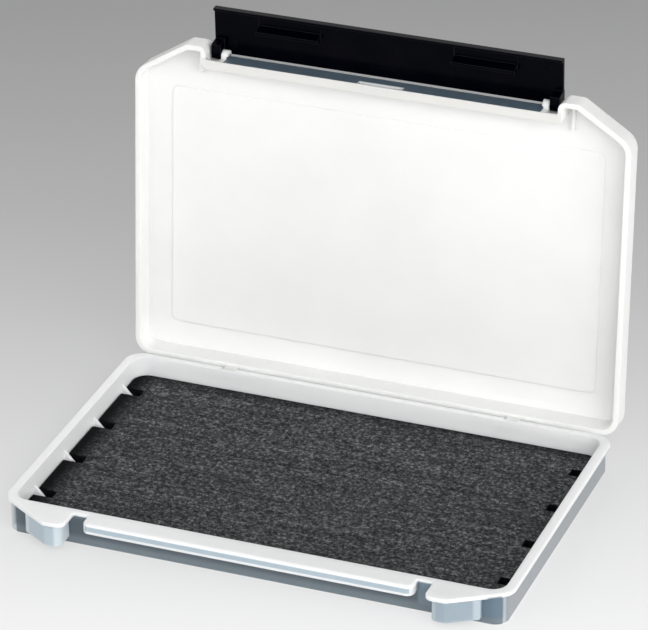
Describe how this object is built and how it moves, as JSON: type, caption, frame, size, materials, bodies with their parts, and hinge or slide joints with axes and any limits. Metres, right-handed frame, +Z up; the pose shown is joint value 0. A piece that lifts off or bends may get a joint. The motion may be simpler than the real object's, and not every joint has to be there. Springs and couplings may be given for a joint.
{
  "type": "fly box",
  "caption": "Shallow frosted-plastic fly box with a slit foam sheet in its tray, a lid on wire hinge pins and a full-width latch that hooks under the tray's front shelf.",
  "frame": {"origin": "the middle of the underside's main rectangle, on the surface the box rests on", "axes": "+X along the box's length, to the right when it is seen from the latch side; +Y towards the hinge; +Z up"},
  "size_m": [0.205, 0.1599, 0.1619],
  "materials": {
    "frosted_polypropylene": "satin",
    "foam": "matte",
    "pin_steel": "satin",
    "black_plastic": "gloss"
  },
  "bodies": {
    "base": {"base_tray": "frosted_polypropylene", "foam_sheet": "foam", "hinge_pin_left": "pin_steel", "hinge_pin_right": "pin_steel"},
    "lid": {"lid": "frosted_polypropylene"},
    "latch": {"latch": "black_plastic"}
  },
  "joints": [
    {"name": "lid_hinge", "type": "hinge", "parent": "base", "child": "lid", "pos_m": [0, 0.0637, 0.011], "axis": [1, 0, 0], "range_deg": [0, 93.7]},
    {"name": "latch_hinge", "type": "hinge", "parent": "lid", "child": "latch", "pos_m": [0, 0.08164, 0.14282], "axis": [1, 0, 0], "range_deg": [0, 84]}
  ]
}
